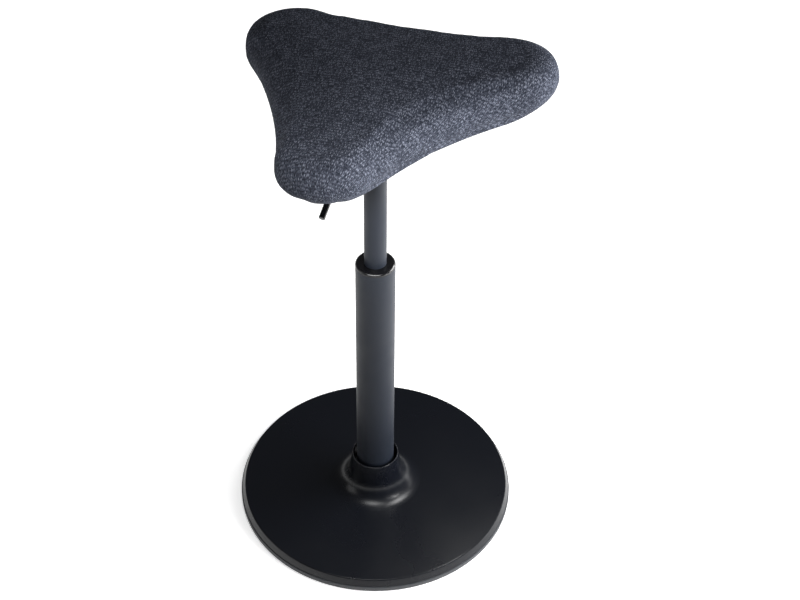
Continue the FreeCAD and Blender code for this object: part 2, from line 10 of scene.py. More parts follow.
import bpy
import numpy as np
from bpy.types import Material, NodeOutputs, NodeSocket, NodeTree, Object, World
from mathutils import Matrix, Vector
from mathutils.bvhtree import BVHTree
from mathutils.interpolate import poly_3d_calc


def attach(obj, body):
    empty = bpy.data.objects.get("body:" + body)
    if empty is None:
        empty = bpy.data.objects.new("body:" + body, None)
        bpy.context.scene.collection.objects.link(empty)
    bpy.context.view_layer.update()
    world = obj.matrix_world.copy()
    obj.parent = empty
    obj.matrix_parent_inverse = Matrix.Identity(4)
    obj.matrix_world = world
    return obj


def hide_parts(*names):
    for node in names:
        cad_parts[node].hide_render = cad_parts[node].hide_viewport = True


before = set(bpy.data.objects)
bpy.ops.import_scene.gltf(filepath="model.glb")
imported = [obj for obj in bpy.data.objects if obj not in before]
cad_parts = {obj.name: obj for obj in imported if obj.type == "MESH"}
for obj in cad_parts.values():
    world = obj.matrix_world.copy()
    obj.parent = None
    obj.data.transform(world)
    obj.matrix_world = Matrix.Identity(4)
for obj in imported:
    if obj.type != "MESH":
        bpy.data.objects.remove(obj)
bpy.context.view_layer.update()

LOG = logging.getLogger("balance_stool")
MM = 0.001
WEAVE_MAP = "Weave"
# A colour Mix node has one pair of inputs and one output for each kind of data.
MIX_A, MIX_B, MIX_COLOUR = 6, 7, 2
# One period of a Wave texture of scale 1, in units of its coordinates.
WAVE_PERIOD = 2 * math.pi / 20
Span = tuple[float, float]
WHOLE: Span = (0.0, 1.0)
# Most values of a Noise texture lie in this span.
NOISE_SPAN: Span = (0.3, 0.7)


class Pattern(Enum):
    """What a pattern's coordinates follow: the piece's own place, or the unrolled cloth."""

    PLACE = "Object"
    CLOTH = "UV"


def linear(code: str) -> tuple[float, float, float, float]:
    """Turns an sRGB hex colour into linear light.

    Args:
        code: Six hex digits.

    Returns:
        Red, green, blue and an alpha of 1.
    """
    shares = [int(code[i:i + 2], 16) / 255 for i in (0, 2, 4)]
    light = [s / 12.92 if s <= 0.04045 else ((s + 0.055) / 1.055) ** 2.4 for s in shares]
    return (light[0], light[1], light[2], 1.0)


def span(source: Span, target: Span = WHOLE) -> dict[str, float]:
    """Limits that take one span of values to another, by Map Range's input names."""
    return dict(zip(("From Min", "From Max", "To Min", "To Max"), source + target))


def add_node(
    tree: NodeTree, kind: str, inputs: dict[Any, Any] | None = None, **options: Any
) -> NodeOutputs:
    """Adds a node.

    Args:
        tree: Node tree that gets the node.
        kind: Blender's name for the kind of node.
        inputs: A value, a socket to link from, or a list of these, by input name or number.
        **options: The node's own settings.

    Returns:
        The node's outputs.
    """
    node = tree.nodes.new(kind)
    for name, value in options.items():
        setattr(node, name, value)
    for key, value in (inputs or {}).items():
        for source in value if isinstance(value, list) else [value]:
            if isinstance(source, NodeSocket):
                tree.links.new(source, node.inputs[key])
            else:
                node.inputs[key].default_value = source
    return node.outputs


def empty_tree(owner: Material | World) -> NodeTree:
    """Readies the node tree of a new material or world.

    Args:
        owner: The material or world.

    Returns:
        Its tree, without the nodes that Blender puts there.
    """
    owner.use_nodes = True
    owner.node_tree.nodes.clear()
    return owner.node_tree


def new_object(
    name: str, points: Sequence[Any], edges: Sequence[Any] = (), faces: Sequence[Any] = ()
) -> Object:
    """Puts a new mesh into the scene as an object at the origin.

    Args:
        name: Name of the object and its mesh.
        points: Places of its points.
        edges: Its loose edges, as numbers of their points.
        faces: Its faces, likewise.

    Returns:
        The new object.
    """
    mesh = bpy.data.meshes.new(name)
    mesh.from_pydata(points, edges, faces)
    item = bpy.data.objects.new(name, mesh)
    bpy.context.scene.collection.objects.link(item)
    return item


def settle(item: Object) -> None:
    """Applies an object's modifiers to its mesh.

    Args:
        item: The object.
    """
    graph = bpy.context.evaluated_depsgraph_get()
    graph.update()
    mesh = bpy.data.meshes.new_from_object(
        item.evaluated_get(graph), preserve_all_data_layers=True, depsgraph=graph)
    mesh.name = item.name
    item.modifiers.clear()
    item.data = mesh


def new_tree(name: str, **sizes: tuple[str, ...]) -> tuple[NodeTree, NodeOutputs]:
    """Starts a Geometry Nodes tree.

    Args:
        name: The tree's name.
        **sizes: Names of the inputs besides the geometry, by their kind.

    Returns:
        The tree and the sockets of its inputs.
    """
    tree = bpy.data.node_groups.new(name, "GeometryNodeTree")
    tree.interface.new_socket("Geometry", in_out="INPUT", socket_type="NodeSocketGeometry")
    for kind, names in sizes.items():
        for size in names:
            tree.interface.new_socket(size, in_out="INPUT", socket_type="NodeSocket" + kind)
    tree.interface.new_socket("Geometry", in_out="OUTPUT", socket_type="NodeSocketGeometry")
    return tree, add_node(tree, "NodeGroupInput")


def end_tree(tree: NodeTree, copies: NodeSocket, metal: NodeSocket) -> None:
    """Ends a tree: the copies become real and get their material.

    Args:
        tree: The tree.
        copies: Its instances.
        metal: Its material input.
    """
    real = add_node(tree, "GeometryNodeRealizeInstances", {"Geometry": copies})
    dressed = add_node(
        tree, "GeometryNodeSetMaterial", {"Geometry": real["Geometry"], "Material": metal})
    add_node(tree, "NodeGroupOutput", {"Geometry": dressed["Geometry"]})


def grow(item: Object, tree: NodeTree, sizes: dict[str, Any]) -> None:
    """Runs a tree on an object and keeps the result as its plain mesh.

    Args:
        item: The object, whose mesh the tree starts from.
        tree: The tree.
        sizes: Values of its named inputs.
    """
    nodes = item.modifiers.new(tree.name, "NODES")
    nodes.node_group = tree
    for socket in tree.interface.items_tree:
        if socket.in_out == "INPUT" and socket.name in sizes:
            nodes[socket.identifier] = sizes[socket.name]
    settle(item)


def ring_faces(rings: int, count: int) -> list[tuple[int, ...]]:
    """Faces of a skin: a fan from point 0 to the first ring, and a band from each ring to the next.

    Args:
        rings: How many rings there are.
        count: How many points each one has.

    Returns:
        The faces, as numbers of their points.
    """
    after = [(i + 1) % count for i in range(count)]
    faces: list[tuple[int, ...]] = [(0, 1 + i, 1 + j) for i, j in enumerate(after)]
    for low in range(1, 1 + (rings - 1) * count, count):
        faces += [(low + i, low + count + i, low + count + j, low + j) for i, j in enumerate(after)]
    return faces


def face_column(
    item: Object, azimuth_deg: float, elevation_deg: float, distance: float, aim: float
) -> None:
    """Puts a lamp or camera into the scene, turned to a point on the column.

    Args:
        item: The lamp or camera.
        azimuth_deg: Its angle round the column; from 0 it looks along +Y.
        elevation_deg: Its angle over the level.
        distance: Its distance from the point.
        aim: Height of the point.
    """
    turn, up = math.radians(azimuth_deg), math.radians(elevation_deg)
    away = Vector((math.sin(turn) * math.cos(up), -math.cos(turn) * math.cos(up), math.sin(up)))
    point = Vector((0.0, 0.0, aim))
    item.location = away * distance + point
    item.rotation_euler = (point - item.location).to_track_quat("-Z", "Y").to_euler()
    bpy.context.scene.collection.objects.link(item)


@dataclass
class Marks:
    """What a pattern gives a surface: share of the second tone, height and other inputs."""

    share: NodeSocket | None = None
    height: NodeSocket | None = None
    inputs: dict[str, Any] = field(default_factory=dict)


@dataclass(frozen=True)
class Finish:
    """A surface of two tones with a fine relief, in the pattern that a subclass gives it."""

    name: str
    colour: str
    roughness: float
    tone: str
    # Height of the relief, and how strongly it shows.
    relief_mm: float = 0.03
    bump: float = 0.6
    specular: float = 0.5

    def material(self) -> Material:
        """Material of this finish, made once.

        Returns:
            The material.
        """
        known = bpy.data.materials.get(self.name)
        if known is not None:
            return known
        made = bpy.data.materials.new(self.name)
        tree = empty_tree(made)
        marks = self.pattern(tree)
        if marks.share is not None:
            tinted = add_node(tree, "ShaderNodeMix", {
                0: marks.share, MIX_A: linear(self.colour), MIX_B: linear(self.tone)},
                data_type="RGBA")
            marks.inputs["Base Color"] = tinted[MIX_COLOUR]
        if marks.height is not None:
            relief = add_node(tree, "ShaderNodeBump", {
                "Height": marks.height, "Distance": self.relief_mm * MM, "Strength": self.bump})
            marks.inputs["Normal"] = relief["Normal"]
        # The shader keeps its constants under what is linked over them.
        inputs: dict[str, list[Any]] = {
            "Base Color": [linear(self.colour)], "Roughness": [self.roughness],
            "Specular IOR Level": [self.specular]}
        for name, value in marks.inputs.items():
            inputs.setdefault(name, []).append(value)
        shader = add_node(tree, "ShaderNodeBsdfPrincipled", inputs)
        add_node(tree, "ShaderNodeOutputMaterial", {"Surface": shader["BSDF"]})
        return made

    def pattern(self, tree: NodeTree) -> Marks:
        """Draws the pattern.

        Args:
            tree: The material's node tree.

        Returns:
            What it gives the surface.
        """
        raise NotImplementedError

    def place(self, tree: NodeTree) -> NodeSocket:
        """Coordinates in metres, in the stool's own frame."""
        return add_node(tree, "ShaderNodeTexCoord")[Pattern.PLACE.value]

    def dress(self, *nodes: str) -> None:
        """Gives the finish to carried-over pieces.

        Args:
            *nodes: Names of the pieces.
        """
        for node in nodes:
            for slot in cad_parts[node].material_slots:
                slot.material = self.material()
            LOG.info("%s: %s", node, self.name)


@dataclass(frozen=True)
class MelangeWeave(Finish):
    """Wool-blend upholstery cloth: dark yarn with mid and pale yarns in short slanting flecks.

    The tone is the mid yarn's. The yarns are drawn about twice as coarse as real ones, which would
    be too fine to show.
    """

    pale_yarn: str = "7E828F"
    yarn_mm: float = 0.95
    fleck_mm: float = 4.8
    fleck_angle_deg: float = 31.0
    cloud_mm: float = 20.0
    twill_mm: float = 2.4
    # Where a fleck starts to sink away and where it is gone, in shares of its size.
    fleck_edge: Span = (0.1, 0.6)
    # How pale flecks get by chance, across the main direction and along it, and in the clouds.
    cross_most: float = 0.4
    along_most: float = 0.85
    cloud_part: Span = (0.12, 0.28)
    # Share of the loose fibres in the pattern, and how many there are to a yarn.
    fibre_part: float = 0.2
    fibres_per_yarn: float = 2.0
    # Where in the pattern the mid and the pale yarn start, and where they fill it.
    mid_span: Span = (0.15, 0.6)
    pale_span: Span = (0.5, 0.85)
    # Painted shade between the twill's ridges and painted light on them, as shares of the colour.
    twill_shade: Span = (0.86, 1.1)
    sheen: float = 0.03
    sheen_roughness: float = 0.4
    sheen_tint: str = "AEB4C4"

    def yarns(
        self, tree: NodeTree, cloth: NodeSocket, angle_deg: float
    ) -> tuple[NodeSocket, NodeSocket, NodeSocket]:
        """One set of parallel yarns that come to the face in short flecks.

        Args:
            tree: The material's node tree.
            cloth: Flat coordinates of the cloth.
            angle_deg: Direction of the yarns on it.

        Returns:
            How far a fleck stands out, a chance number for it, and coordinates along the yarns.
        """
        along = add_node(tree, "ShaderNodeMapping", {
            "Vector": cloth, "Rotation": (0.0, 0.0, math.radians(angle_deg)),
            "Scale": (self.fleck_mm * MM, self.yarn_mm * MM, 1.0)}, vector_type="TEXTURE")
        cells = add_node(tree, "ShaderNodeTexVoronoi", {
            "Vector": along["Vector"], "Scale": 1.0}, voronoi_dimensions="2D")
        draw = add_node(tree, "ShaderNodeSeparateColor", {"Color": cells["Color"]})
        floats = add_node(tree, "ShaderNodeMapRange", {
            "Value": cells["Distance"], **span(self.fleck_edge, WHOLE[::-1])},
            interpolation_type="SMOOTHSTEP")
        return floats["Result"], draw["Red"], along["Vector"]

    def pattern(self, tree: NodeTree) -> Marks:
        """Crossing flecks of three yarns, cloudy patches and slanting ridges on the flat cloth.

        Args:
            tree: The material's node tree.

        Returns:
            What it gives the surface.
        """
        cloth = add_node(tree, "ShaderNodeUVMap", uv_map=WEAVE_MAP)[Pattern.CLOTH.value]
        clouds = add_node(tree, "ShaderNodeTexNoise", {
            "Vector": cloth, "Scale": 1 / (self.cloud_mm * MM), "Detail": 2.0},
            noise_dimensions="2D")
        drift = add_node(tree, "ShaderNodeMapRange", {
            "Value": clouds["Fac"], **span(NOISE_SPAN, self.cloud_part)})
        sets = []
        across = self.fleck_angle_deg + 90.0
        for angle, most in ((across, self.cross_most), (self.fleck_angle_deg, self.along_most)):
            stand, draw, along = self.yarns(tree, cloth, angle)
            share = add_node(
                tree, "ShaderNodeMath", {0: draw, 1: most, 2: drift["Result"]},
                operation="MULTIPLY_ADD")
            sets.append(add_node(
                tree, "ShaderNodeMath", {0: stand, 1: share[0]}, operation="MULTIPLY"))
        lit = add_node(tree, "ShaderNodeMath", {0: sets[0][0], 1: sets[1][0]}, operation="MAXIMUM")
        fibres = add_node(tree, "ShaderNodeTexNoise", {
            "Vector": along, "Scale": self.fibres_per_yarn, "Detail": 2.0, "Roughness": 0.65},
            noise_dimensions="2D")
        chance = add_node(tree, "ShaderNodeMix", {
            "Factor": self.fibre_part, "A": lit[0], "B": fibres["Fac"]})
        woven: Any = linear(self.colour)
        for yarn, limits in ((self.tone, self.mid_span), (self.pale_yarn, self.pale_span)):
            share = add_node(tree, "ShaderNodeMapRange", {
                "Value": chance["Result"], **span(limits)})
            mixed = add_node(tree, "ShaderNodeMix", {
                0: share["Result"], MIX_A: woven, MIX_B: linear(yarn)}, data_type="RGBA")
            woven = mixed[MIX_COLOUR]
        # The ridges give the relief, and also paint shade into the colour between them and light on
        # them.
        ridges = add_node(tree, "ShaderNodeTexWave", {
            "Vector": cloth, "Scale": WAVE_PERIOD / (self.twill_mm * MM), "Distortion": 3.0,
            "Detail": 2.0}, bands_direction="DIAGONAL")
        shade = add_node(tree, "ShaderNodeMapRange", {
            "Value": ridges["Fac"], **span(WHOLE, self.twill_shade)})
        shaded = add_node(tree, "ShaderNodeMix", {
            0: 1.0, MIX_A: woven, MIX_B: shade["Result"]}, data_type="RGBA", blend_type="MULTIPLY")
        height = add_node(
            tree, "ShaderNodeMath", {0: ridges["Fac"], 1: chance["Result"]}, operation="ADD")
        return Marks(height=height[0], inputs={
            "Base Color": shaded[MIX_COLOUR], "Sheen Weight": self.sheen,
            "Sheen Roughness": self.sheen_roughness, "Sheen Tint": linear(self.sheen_tint)})


@dataclass(frozen=True)
class Grained(Finish):
    """Paint, plastic or rubber: a skin with a fine grain and patches that are a little rougher."""

    grain_mm: float = 0.8
    patch_mm: float = 40.0
    unevenness: float = 0.06

    def pattern(self, tree: NodeTree) -> Marks:
        """Grain as relief, and slow changes of tone and roughness.

        Args:
            tree: The material's node tree.

        Returns:
            What it gives the surface.
        """
        place = self.place(tree)
        grain = add_node(tree, "ShaderNodeTexNoise", {
            "Vector": place, "Scale": 1 / (self.grain_mm * MM), "Detail": 2.0})
        patches = add_node(tree, "ShaderNodeTexNoise", {
            "Vector": place, "Scale": 1 / (self.patch_mm * MM), "Detail": 4.0})
        swing = (self.roughness - self.unevenness, self.roughness + self.unevenness)
        worn = add_node(tree, "ShaderNodeMapRange", {
            "Value": patches["Fac"], **span(NOISE_SPAN, swing)})
        return Marks(patches["Fac"], grain["Fac"], {"Roughness": worn["Result"]})


@dataclass(frozen=True)
class Metal(Finish):
    """Bare or plated metal with drawn or rolled lines along the column."""

    line_mm: float = 0.5
    stretch: float = 24.0
    # Share of the roughness that the lines add and take away.
    unevenness: float = 0.25

    def pattern(self, tree: NodeTree) -> Marks:
        """Long fine lines that change tone and roughness together.

        Args:
            tree: The material's node tree.

        Returns:
            What it gives the surface.
        """
        line = self.line_mm * MM
        drawn = add_node(tree, "ShaderNodeMapping", {
            "Vector": self.place(tree), "Scale": (line, line, line * self.stretch)},
            vector_type="TEXTURE")
        lines = add_node(tree, "ShaderNodeTexNoise", {
            "Vector": drawn["Vector"], "Scale": 1.0, "Detail": 3.0})
        swing = (self.roughness * (1 - self.unevenness), self.roughness * (1 + self.unevenness))
        rough = add_node(tree, "ShaderNodeMapRange", {"Value": lines["Fac"], **span(WHOLE, swing)})
        return Marks(lines["Fac"], inputs={"Roughness": rough["Result"], "Metallic": 1.0})


@dataclass(frozen=True)
class BondedFelt(Finish):
    """Spun-bonded cloth: matted fibres, pressed together at a grid of small dots."""

    fibre_mm: float = 0.9
    dot_mm: float = 2.4
    # From the flat middle of a dot to its edge, in shares of the dots' spacing.
    dot_edge: Span = (0.15, 0.4)

    def pattern(self, tree: NodeTree) -> Marks:
        """Matted fibres with rows of pressed dots.

        Args:
            tree: The material's node tree.

        Returns:
            What it gives the surface.
        """
        place = self.place(tree)
        fibres = add_node(tree, "ShaderNodeTexNoise", {
            "Vector": place, "Scale": 1 / (self.fibre_mm * MM), "Detail": 5.0, "Distortion": 1.5})
        dots = add_node(tree, "ShaderNodeTexVoronoi", {
            "Vector": place, "Scale": 1 / (self.dot_mm * MM), "Randomness": 0.0})
        pressed = add_node(tree, "ShaderNodeMapRange", {
            "Value": dots["Distance"], **span(self.dot_edge)})
        height = add_node(
            tree, "ShaderNodeMath", {0: fibres["Fac"], 1: pressed["Result"]}, operation="ADD")
        return Marks(fibres["Fac"], height[0])


@dataclass(frozen=True)
class LayeredBirch(Finish):
    """Birch plywood: pale plies and darker glue lines that show on the board's edge."""

    ply_mm: float = 1.6
    grain_mm: float = 3.0

    def pattern(self, tree: NodeTree) -> Marks:
        """Plies in height with a soft grain over them.

        Args:
            tree: The material's node tree.

        Returns:
            What it gives the surface.
        """
        place = self.place(tree)
        plies = add_node(tree, "ShaderNodeTexWave", {
            "Vector": place, "Scale": WAVE_PERIOD / (self.ply_mm * MM), "Distortion": 0.4},
            bands_direction="Z")
        grain = add_node(tree, "ShaderNodeTexNoise", {
            "Vector": place, "Scale": 1 / (self.grain_mm * MM), "Detail": 4.0})
        share = add_node(
            tree, "ShaderNodeMath", {0: plies["Fac"], 1: grain["Fac"]}, operation="MULTIPLY")
        return Marks(share[0])


# Woven wool blend: matt and dark, alive with pale flecks, lighter where it turns to the light.
SEAT_CLOTH = MelangeWeave(
    "wool_blend_melange_cloth", "22252D", 0.92, tone="4C505C", relief_mm=0.22, bump=0.7,
    specular=0.12)
# Spun-bonded polypropylene: dull black with a faint grid of dots.
UNDER_FELT = BondedFelt(
    "spunbonded_polypropylene", "0D0D0F", 0.95, tone="26262A", relief_mm=0.25, bump=0.7,
    specular=0.2)
# Birch plywood: pale edges with darker glue lines.
SEAT_BOARD = LayeredBirch("birch_plywood", "C9A878", 0.6, tone="8A5F38")
# Epoxy powder coat on steel tube: soft satin, a slight orange peel, a cool dark grey.
TUBE_PAINT = Grained(
    "powder_coated_steel_grey", "14181F", 0.5, grain_mm=1.4, relief_mm=0.012, tone="181C24",
    specular=0.25)
# The same coat in black on the carrier under the seat.
CARRIER_PAINT = Grained(
    "powder_coated_steel_black", "1B1C1E", 0.5, grain_mm=1.2, relief_mm=0.03, tone="222325")
# Stove enamel on the ballast plate: dull black.
BALLAST_PAINT = Grained("enamelled_plate_steel", "18181A", 0.62, grain_mm=1.6, tone="202022")
# Injection-moulded polypropylene: black, satin, a fine spark-eroded grain.
COVER_PLASTIC = Grained(
    "moulded_polypropylene_black", "0A0C12", 0.29, grain_mm=0.7, relief_mm=0.006, tone="080A0F",
    patch_mm=70.0, unevenness=0.03, specular=0.4)
# Polished acetal: deep black with clear highlights.
CAP_PLASTIC = Grained(
    "moulded_acetal_black", "08080A", 0.22, grain_mm=0.9, relief_mm=0.006, tone="0B0B0D")
# Glossy nylon on the lever: black, with one sharp light along it.
GRIP_PLASTIC = Grained(
    "moulded_nylon_gloss_black", "060607", 0.16, grain_mm=1.1, relief_mm=0.006, tone="09090A")
# Unfilled nylon of the bearing cage: ivory and slightly waxy.
CAGE_PLASTIC = Grained("moulded_nylon_ivory", "D6D0BC", 0.45, grain_mm=0.6, tone="C9C2AC")
# Thermoplastic rubber edge: dark grey and nearly matt.
EDGE_RUBBER = Grained(
    "thermoplastic_rubber_grey", "2A2C2F", 0.55, grain_mm=0.9, relief_mm=0.03, tone="303236")
# Vulcanised rubber: black, dull and dusty.
BLACK_RUBBER = Grained(
    "vulcanised_rubber_black", "131313", 0.78, grain_mm=0.9, relief_mm=0.05, tone="1B1B1A")
# Grey cast iron: sooty, with the coarse skin of the sand mould.
CAST_IRON = Grained("sand_cast_iron", "2F2F30", 0.7, grain_mm=1.8, relief_mm=0.12, tone="3A3938")
# Zinc plate on steel: pale grey with a cool cast.
ZINC_STEEL = Metal("zinc_plated_steel", "B9BCBE", 0.34, tone="9DA0A3")
# Ground bearing steel: bright.
BEARING_STEEL = Metal("ground_bearing_steel", "CFCFD0", 0.14, line_mm=0.3, tone="BDBDBE")
# Hard chrome on the rod: nearly a mirror.
ROD_CHROME = Metal("hard_chromed_steel", "D8D9DB", 0.07, line_mm=0.4, tone="CACBCD")
# Turned aluminium: pale with fine tool marks.
TURNED_ALUMINIUM = Metal("turned_aluminium", "C4C6C8", 0.3, line_mm=0.4, stretch=0.4, tone="ABADB0")


@dataclass
class WeightedBase:
    """Round base that stands on the floor, with the rubber bush that lets the column lean."""

    def build(self) -> None:
        """Dresses the base's pieces."""
        COVER_PLASTIC.dress("base_cover")
        EDGE_RUBBER.dress("edge_ring")
        BLACK_RUBBER.dress("floor_pad", "elastomer_bearing")
        BALLAST_PAINT.dress("base_plate")
        CAST_IRON.dress("bearing_housing")
        ZINC_STEEL.dress("cover_screws", "housing_bolts")


@dataclass
class GasLift:
    """Outer tube with its guide bush, and the gas spring that turns and slides in it."""

    def build(self) -> None:
        """Dresses the column's pieces."""
        TUBE_PAINT.dress("outer_tube", "gas_cylinder")
        CAP_PLASTIC.dress("guide_bush")
        ZINC_STEEL.dress(
            "taper_socket", "tube_end_plate", "piston_nut", "clip_washer", "retaining_clip",
            "valve_button")
        BEARING_STEEL.dress("lower_race", "upper_race", "bearing_balls")
        CAGE_PLASTIC.dress("ball_cage", "rod_gland")
        BLACK_RUBBER.dress("bump_stop", "piston_seal", "gland_seal")
        ROD_CHROME.dress("piston_rod")
        TURNED_ALUMINIUM.dress("piston", "valve_body")


@dataclass
class HeightLever:
    """Bent bar with a plastic grip that opens the gas spring's valve."""

    def build(self) -> None:
        """Dresses the lever's pieces."""
        ZINC_STEEL.dress("lever_rod", "pivot_pin")
        GRIP_PLASTIC.dress("lever_grip")
        CARRIER_PAINT.dress("lever_bracket")


@dataclass(frozen=True)
class SeatLevel:
    """Where the seat's own level lies on the column: its height and its fall to the rear."""

    height: float = 0.6585
    slope_deg: float = 5.0
    # From the seat's level down to its underside.
    depth: float = 0.026

    def place(self, item: Object) -> None:
        """Moves a piece's mesh from the seat's own level to its sloping place."""
        tilt = Matrix.Rotation(-math.radians(self.slope_deg), 4, "X")
        item.data.transform(Matrix.Translation((0.0, 0.0, self.height)) @ tilt)


@dataclass
class SeatCarrier:
    """Steel plate, drum and hub that hold the seat on the gas spring, and the plate's bolts."""

    level: SeatLevel = SeatLevel()
    bolt_spread: tuple[float, float] = (0.038, 0.033)
    plate_thickness: float = 0.003
    bolt_radius: float = 0.003
    bolt_reach: float = 0.0135
    head_flats: float = 0.010
    head_height: float = 0.004
    # The cone that turns off the head's corners is this much wider than the head's flats.
    chamfer_spread: float = 1.12
    head_sides: int = 48
    shank_sides: int = 20

    def build(self) -> None:
        """Dresses the carrier and makes its bolts."""
        CARRIER_PAINT.dress("seat_plate", "lift_housing", "hub_cone")
        ZINC_STEEL.dress("tee_nuts")
        bolts = self.bolts()
        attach(bolts, "seat")
        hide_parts("plate_bolts")
        LOG.info("%s: %s", bolts.name, ZINC_STEEL.name)

    def bolt_tree(self) -> NodeTree:
        """A hexagon bolt with a turned chamfer on its head, copied to each point.

        Returns:
            The tree.
        """
        tree, entry = new_tree(
            "hexagon_bolts", Vector=("Head Place", "Shank Place"), Material=("Metal",),
            Float=("Head Radius", "Chamfer Radius", "Head Height", "Shank Radius", "Shank Length"))
        hexagon = add_node(tree, "GeometryNodeMeshCylinder", {
            "Vertices": 6, "Radius": entry["Head Radius"], "Depth": entry["Head Height"]})
        turned = add_node(tree, "GeometryNodeMeshCone", {
            "Vertices": self.head_sides, "Radius Bottom": entry["Chamfer Radius"],
            "Radius Top": entry["Head Radius"], "Depth": entry["Head Height"]})
        sunk = add_node(tree, "GeometryNodeTransform", {
            "Geometry": turned["Mesh"], "Scale": (self.chamfer_spread, self.chamfer_spread, 1.0)})
        head = add_node(tree, "GeometryNodeMeshBoolean", {
            "Mesh 2": [hexagon["Mesh"], sunk["Geometry"]]}, operation="INTERSECT")
        placed_head = add_node(tree, "GeometryNodeTransform", {
            "Geometry": head["Mesh"], "Translation": entry["Head Place"]})
        shank = add_node(tree, "GeometryNodeMeshCylinder", {
            "Vertices": self.shank_sides, "Radius": entry["Shank Radius"],
            "Depth": entry["Shank Length"]})
        placed_shank = add_node(tree, "GeometryNodeTransform", {
            "Geometry": shank["Mesh"], "Translation": entry["Shank Place"]})
        bolt = add_node(tree, "GeometryNodeJoinGeometry", {
            "Geometry": [placed_head["Geometry"], placed_shank["Geometry"]]})
        copies = add_node(tree, "GeometryNodeInstanceOnPoints", {
            "Points": entry["Geometry"], "Instance": bolt["Geometry"]})
        end_tree(tree, copies["Instances"], entry["Metal"])
        return tree

    def bolts(self) -> Object:
        """The four bolts that hold the plate to the seat board.

        Returns:
            The bolts, in their place.
        """
        x, y = self.bolt_spread
        under = -self.level.depth - self.plate_thickness
        bolts = new_object("plate_bolts_turned", [(a, b, under) for a in (-x, x) for b in (-y, y)])
        grow(bolts, self.bolt_tree(), {
            "Head Radius": self.head_flats / math.sqrt(3), "Chamfer Radius": self.head_flats / 2,
            "Head Height": self.head_height, "Head Place": (0.0, 0.0, -self.head_height / 2),
            "Shank Radius": self.bolt_radius, "Shank Length": self.bolt_reach,
            "Shank Place": (0.0, 0.0, self.bolt_reach / 2), "Metal": ZINC_STEEL.material()})
        self.level.place(bolts)
        return bolts


